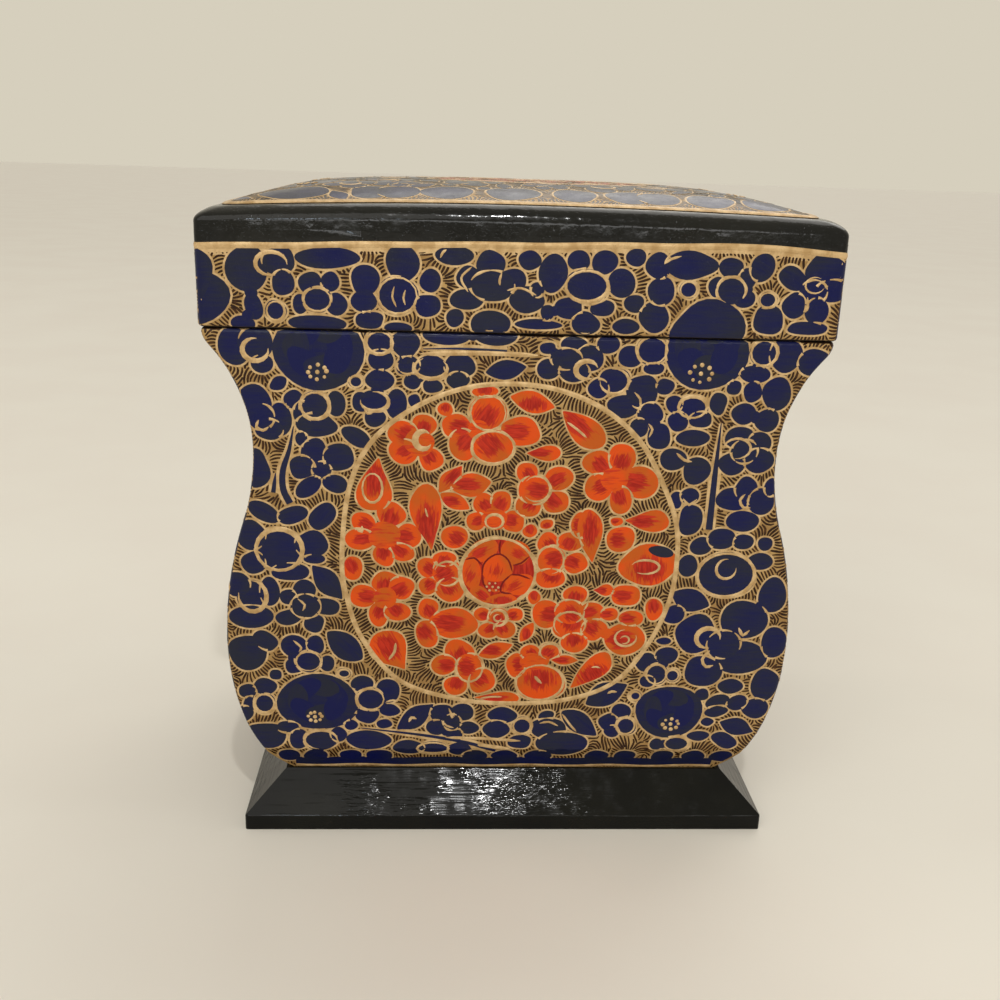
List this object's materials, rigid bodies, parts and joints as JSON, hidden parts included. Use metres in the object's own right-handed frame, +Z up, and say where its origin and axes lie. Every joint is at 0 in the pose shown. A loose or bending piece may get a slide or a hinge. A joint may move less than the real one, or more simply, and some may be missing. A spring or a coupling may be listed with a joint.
{
  "type": "kashmiri papier mache box",
  "caption": "Tall papier mache keepsake box with ogee sides, sloping black plinth and lift-off pillowed lid, painted with navy and orange flowers on gold and lacquered.",
  "frame": {"origin": "centre of the plinth's underside, on the surface the box stands on", "axes": "+X to the viewer's right along the front, +Y from the front to the back, +Z up"},
  "size_m": [0.13, 0.0898, 0.1416],
  "materials": {
    "painted_body": "navy flowers with gold outlines on a gold ground hatched in black, round medallion of orange flowers, under gloss lacquer",
    "painted_lid": "navy flowers with gold outlines on a hatched gold ground, under gloss lacquer",
    "painted_lid_top": "black shoulder between gold lines, navy and orange flowers on the pillow, under gloss lacquer",
    "black_lacquer": "black paint under uneven brushed gloss lacquer",
    "inside_lacquer": "plain black paint, satin"
  },
  "bodies": {
    "body": {"plinth": "black_lacquer", "floor_board": "inside_lacquer", "front_panel": "painted_body", "back_panel": "painted_body", "left_side_panel": "painted_body", "right_side_panel": "painted_body", "collar_front": "inside_lacquer", "collar_back": "inside_lacquer", "collar_left": "inside_lacquer", "collar_right": "inside_lacquer"},
    "lid": {"lid_front_wall": "painted_lid", "lid_back_wall": "painted_lid", "lid_left_wall": "painted_lid", "lid_right_wall": "painted_lid", "lid_top": "painted_lid_top"}
  },
  "joints": [
    {"name": "lid_lift", "type": "slide", "parent": "body", "child": "lid", "axis": [0, 0, 1], "range_m": [0, 0.06]}
  ]
}
